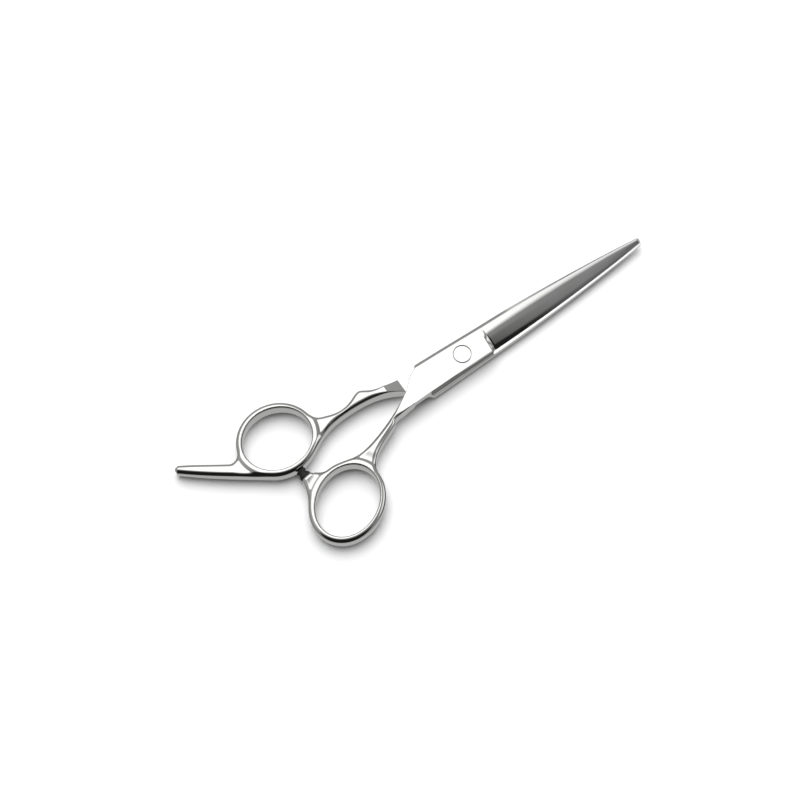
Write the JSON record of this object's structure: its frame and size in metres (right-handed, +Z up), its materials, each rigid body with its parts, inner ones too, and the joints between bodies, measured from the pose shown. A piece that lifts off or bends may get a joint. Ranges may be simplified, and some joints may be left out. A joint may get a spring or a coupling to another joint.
{
  "type": "hair cutting shears",
  "caption": "Straight-bladed hair cutting shears with offset rings, a fixed finger rest, a flush adjustable pivot and a rubber bumper between the rings.",
  "frame": {"origin": "on the pivot axis, in the plane the shears rest on (the face of the tension screw)", "axes": "+X along the closed blades to the tips, +Y left seen from above, +Z up along the pivot axis"},
  "size_m": [0.1751, 0.0555, 0.0063],
  "materials": {
    "blade_steel": "mirror-polished stainless steel with a satin hollow-ground face",
    "handle_steel": "mirror-polished stainless steel",
    "pivot_steel": "polished stainless steel",
    "spring_steel": "cold-rolled spring steel",
    "bush_polymer": "natural low-friction polymer",
    "bumper_rubber": "matte black rubber"
  },
  "bodies": {
    "finger_half": {"finger_blade": "blade_steel", "finger_handle": "handle_steel", "pivot_bush": "bush_polymer", "thrust_washer": "bush_polymer"},
    "thumb_half": {"thumb_blade": "blade_steel", "thumb_handle": "handle_steel", "pivot_stud": "pivot_steel", "click_plate": "spring_steel", "disc_spring": "spring_steel", "bumper": "bumper_rubber", "bumper_pin": "pivot_steel"},
    "tension_screw": {"tension_screw": "pivot_steel"}
  },
  "joints": [
    {"name": "blade_pivot", "type": "hinge", "parent": "finger_half", "child": "thumb_half", "pos_m": [0, 0, 0.0032], "axis": [0, 0, 1], "range_deg": [0, 140]},
    {"name": "tension_turn", "type": "hinge", "parent": "thumb_half", "child": "tension_screw", "pos_m": [0, 0, 0], "axis": [0, 0, 1], "range_deg": [-180, 180]}
  ]
}
